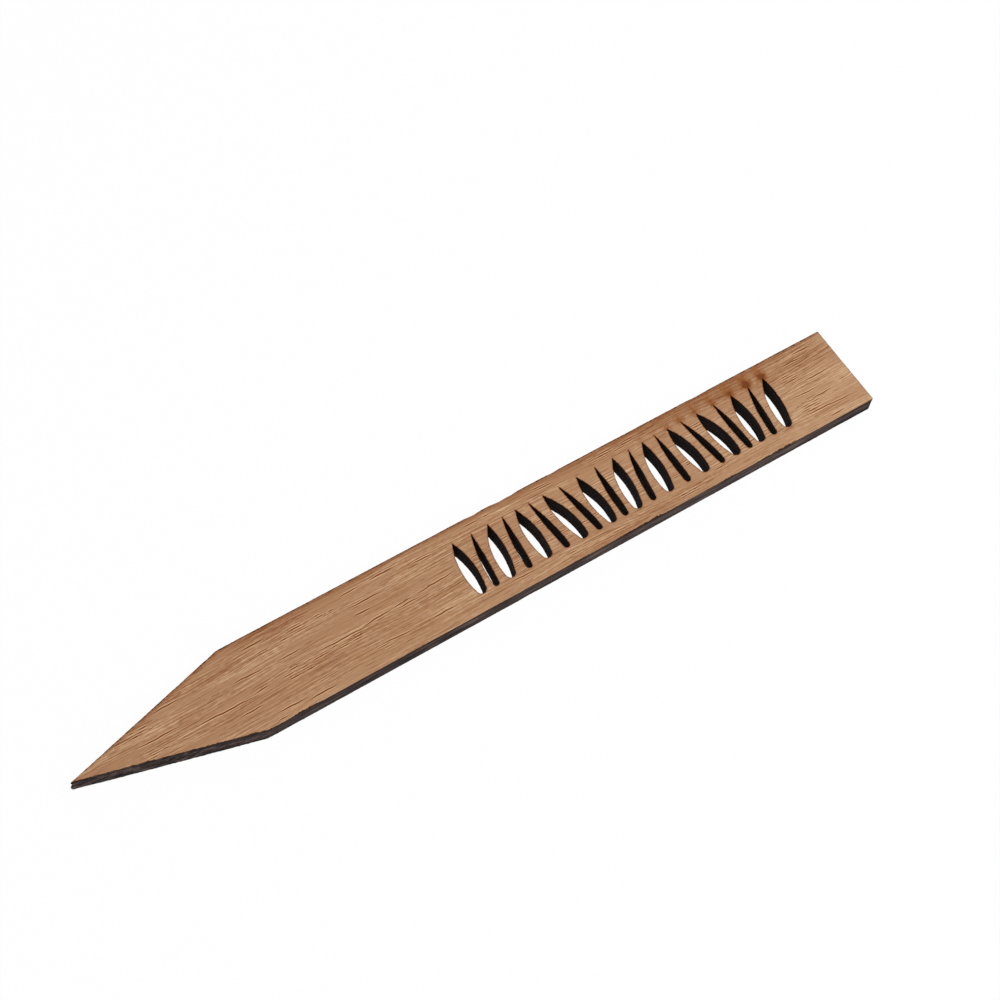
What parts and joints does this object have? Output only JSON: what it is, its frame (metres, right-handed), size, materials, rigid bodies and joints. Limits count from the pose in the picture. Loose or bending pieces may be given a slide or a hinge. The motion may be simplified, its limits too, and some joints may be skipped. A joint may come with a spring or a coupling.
{
  "type": "plant label stake",
  "caption": "Flat pointed wooden stake that is pushed into the soil beside a plant, with a band of grass-blade openings cut through it.",
  "frame": {"origin": "middle of the underside of the stake as it lies flat, halfway between the tip of the point and the square end", "axes": "+X runs from the pointed end to the square end, +Y across the stake towards the pointed ends of the blade openings, +Z out of the face"},
  "size_m": [0.1906, 0.02, 0.004],
  "materials": {
    "face_oak": "raw sanded oak veneer, charred at the cut edges",
    "back_oak": "raw sanded oak veneer, charred at the cut edges",
    "core_wood": "charred by the laser, matt",
    "glue": "cured wood glue, charred at the cut edges"
  },
  "bodies": {
    "root": {"face_veneer": "face_oak", "face_glue_line": "glue", "core_ply": "core_wood", "back_glue_line": "glue", "back_veneer": "back_oak"}
  },
  "joints": []
}
